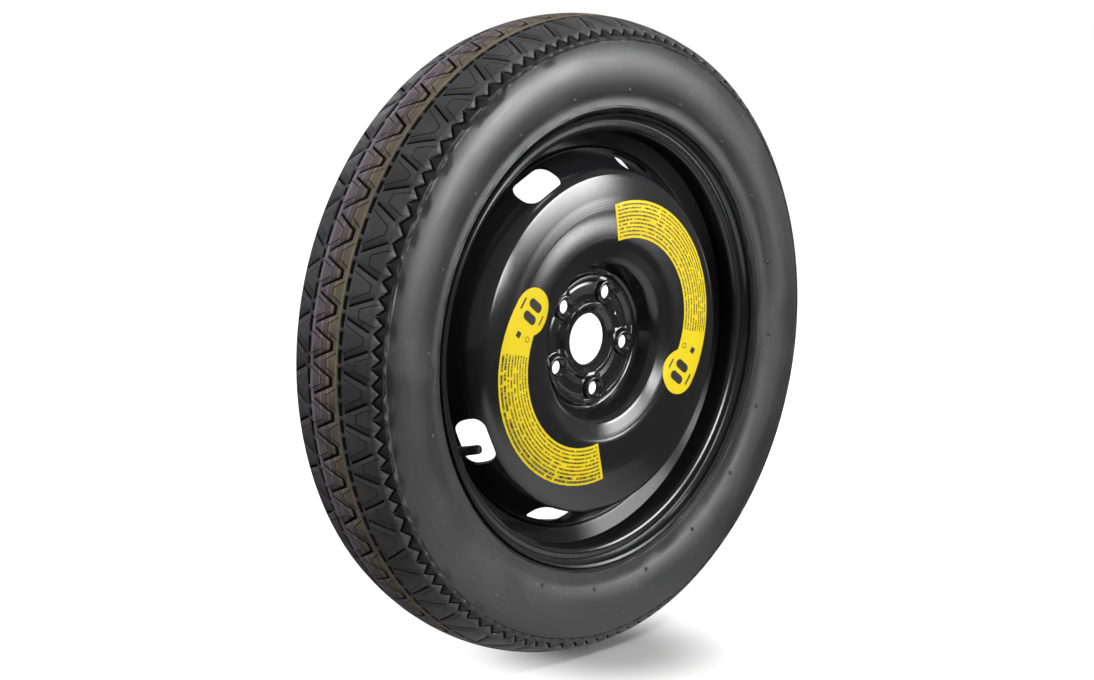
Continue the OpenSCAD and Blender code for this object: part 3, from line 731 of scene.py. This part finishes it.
relief = add_relief(spring_steel, 4000.0, 400.0)
links.new(blend_colour(nodes, links, relief.outputs["Wave"], (0.52, 0.53, 0.55),
                       (0.68, 0.68, 0.70)), metal.inputs["Base Color"])
for part, finish in (("valve_body", valve_rubber), ("cup_seal", valve_rubber),
                     ("cap_gasket", valve_rubber), ("valve_cap", cap_plastic),
                     ("valve_stem", brass), ("core_plug", brass), ("core_barrel", brass),
                     ("core_pin", brass), ("barrel_gasket", red_seal),
                     ("core_spring", spring_steel)):
    wear(part, finish)

# The spring shortens when the pin goes in: its outer end goes with the collar of the
# pin, and its inner end rests in the barrel. Here it is only copied with its points
# merged, each point's reach along the pin's way is worked out, and the CAD spring is hidden.
spring = merged_copy("core_spring", "valve_spring", 0.000001)
spring_mesh = spring.data
press_way = Vector((-0.40195, 0.89443, -0.19605))
spring_middle = sum((v.co for v in spring_mesh.vertices), Vector()) / len(spring_mesh.vertices)
reach = [(v.co - spring_middle).dot(press_way) for v in spring_mesh.vertices]
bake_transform(spring)
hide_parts("core_spring")

# Labels. Two printed labels of thin yellow film are stuck on the dome, half a turn
# apart. The print is dark: two fat bars in the round head, small marks beside it,
# and rows of broken lines along the arch, the first two heavier on the left label.
def print_group():
    """The print of a label: 1 on the ink. Turn is the label's angle on the wheel."""
    tree = bpy.data.node_groups.new("label_print", "ShaderNodeTree")
    tree.interface.new_socket(name="Turn", in_out="INPUT", socket_type="NodeSocketFloat")
    heavy = tree.interface.new_socket(name="Heavy Rows", in_out="INPUT",
                                      socket_type="NodeSocketFloat")
    heavy.default_value = 2.0
    tree.interface.new_socket(name="Mask", in_out="OUTPUT", socket_type="NodeSocketFloat")
    nodes, links = tree.nodes, tree.links
    start = nodes.new("NodeGroupInput")
    end = nodes.new("NodeGroupOutput")
    where = nodes.new("ShaderNodeTexCoord")
    turned = nodes.new("ShaderNodeVectorRotate")
    turned.rotation_type = "Y_AXIS"
    links.new(where.outputs["Object"], turned.inputs["Vector"])
    links.new(start.outputs["Turn"], turned.inputs["Angle"])
    moved = nodes.new("ShaderNodeVectorMath")
    moved.operation = "SUBTRACT"
    moved.inputs[1].default_value = (0.0365, 0.0, 0.0)
    links.new(turned.outputs[0], moved.inputs[0])
    own = nodes.new("ShaderNodeVectorRotate")
    own.rotation_type = "Y_AXIS"
    own.inputs["Angle"].default_value = math.radians(-67.0)
    links.new(moved.outputs[0], own.inputs["Vector"])
    split = nodes.new("ShaderNodeSeparateXYZ")
    links.new(own.outputs[0], split.inputs[0])
    out_mm = maths(nodes, links, "MULTIPLY", split.outputs[0], 1000.0)
    along_mm = maths(nodes, links, "MULTIPLY", split.outputs[2], 1000.0)
    own_r = maths(nodes, links, "SQRT", maths(
        nodes, links, "ADD", maths(nodes, links, "MULTIPLY", out_mm, out_mm),
        maths(nodes, links, "MULTIPLY", along_mm, along_mm)))
    own_turn = maths(nodes, links, "ARCTAN2", along_mm, out_mm)

    # Rows of broken lines: words along the arch, and fine ticks in each word.
    row_place = maths(nodes, links, "DIVIDE", maths(nodes, links, "SUBTRACT", 132.4, own_r), 4.2)
    row = maths(nodes, links, "FLOOR", row_place)
    in_row = maths(nodes, links, "ABSOLUTE", maths(nodes, links, "SUBTRACT", maths(
        nodes, links, "FRACT", row_place), 0.5))
    bold = maths(nodes, links, "LESS_THAN", row, start.outputs["Heavy Rows"])
    half_line = maths(nodes, links, "MULTIPLY_ADD", bold, 0.10, 0.23)
    line = span(nodes, links, maths(nodes, links, "SUBTRACT", in_row, half_line), 0.03, -0.03)
    ink = line
    for pace, low, high in ((19.0, 0.27, 0.30), (130.0, 0.36, 0.48)):
        seat = nodes.new("ShaderNodeCombineXYZ")
        links.new(maths(nodes, links, "MULTIPLY", own_turn, pace), seat.inputs[0])
        links.new(maths(nodes, links, "MULTIPLY", row, 5.37), seat.inputs[1])
        words = nodes.new("ShaderNodeTexNoise")
        words.noise_dimensions = "2D"
        words.inputs["Scale"].default_value = 1.0
        words.inputs["Detail"].default_value = 0.0
        links.new(seat.outputs[0], words.inputs["Vector"])
        ink = maths(nodes, links, "MULTIPLY", ink,
                    span(nodes, links, words.outputs[0], low, high, 0.0 if pace < 50 else 0.25))
    for value, low, high in ((own_turn, 0.44, 0.45), (own_turn, 2.385, 2.375), (row, -0.6, -0.4),
                             (row, 8.6, 8.4)):
        ink = maths(nodes, links, "MULTIPLY", ink, span(nodes, links, value, low, high))

    # Marks of the head: their middle, half size and corner radius, in mm, and
    # how thick the outline is where they are open.
    for out_at, along_at, half_out, half_along, round_by, open_by in (
            (108.6, -7.4, 5.6, 0.01, 5.0, 0.0), (108.6, 7.4, 5.6, 0.01, 5.0, 0.0),
            (126.4, 0.0, 0.5, 6.0, 0.8, 0.0), (91.2, 1.0, 0.3, 5.0, 0.7, 0.0),
            (112.5, 30.0, 2.8, 2.8, 0.5, 0.9), (97.5, 27.5, 0.01, 0.01, 3.2, 0.9)):
        sides = []
        for value, middle, half in ((out_mm, out_at, half_out), (along_mm, along_at, half_along)):
            off = maths(nodes, links, "ABSOLUTE", maths(nodes, links, "SUBTRACT", value, middle))
            beyond = maths(nodes, links, "MAXIMUM", maths(nodes, links, "SUBTRACT", off, half), 0.0)
            sides.append(maths(nodes, links, "MULTIPLY", beyond, beyond))
        gap = maths(nodes, links, "SUBTRACT", maths(nodes, links, "SQRT", maths(
            nodes, links, "ADD", sides[0], sides[1])), round_by)
        mark = span(nodes, links, gap, 0.12, -0.12)
        if open_by > 0.0:
            gap = maths(nodes, links, "ADD", gap, open_by)
            mark = maths(nodes, links, "MULTIPLY", mark, span(nodes, links, gap, -0.12, 0.12))
        ink = maths(nodes, links, "MAXIMUM", ink, mark)
    links.new(ink, end.inputs["Mask"])
    return tree


label_print = print_group()
for part, turn, heavy_rows in (("speed_label_left", 209.5, 2.0), ("speed_label_right", 29.5, 0.0)):
    label_film, nodes, links, film = new_material(part + "_film", 0.35, specular=0.3)
    relief = add_relief(label_film, 700.0, 60.0)
    film_colour = blend_colour(nodes, links, relief.outputs["Wave"], (0.60, 0.458, 0.004),
                               (0.65, 0.505, 0.006))
    ink = nodes.new("ShaderNodeGroup")
    ink.node_tree = label_print
    ink.inputs["Turn"].default_value = math.radians(turn)
    ink.inputs["Heavy Rows"].default_value = heavy_rows
    links.new(blend_colour(nodes, links, ink.outputs[0], film_colour, (0.016, 0.014, 0.012)),
              film.inputs["Base Color"])
    bump(nodes, links, film, relief.outputs["Wave"], 0.08, 0.0006)
    wear(part, label_film)
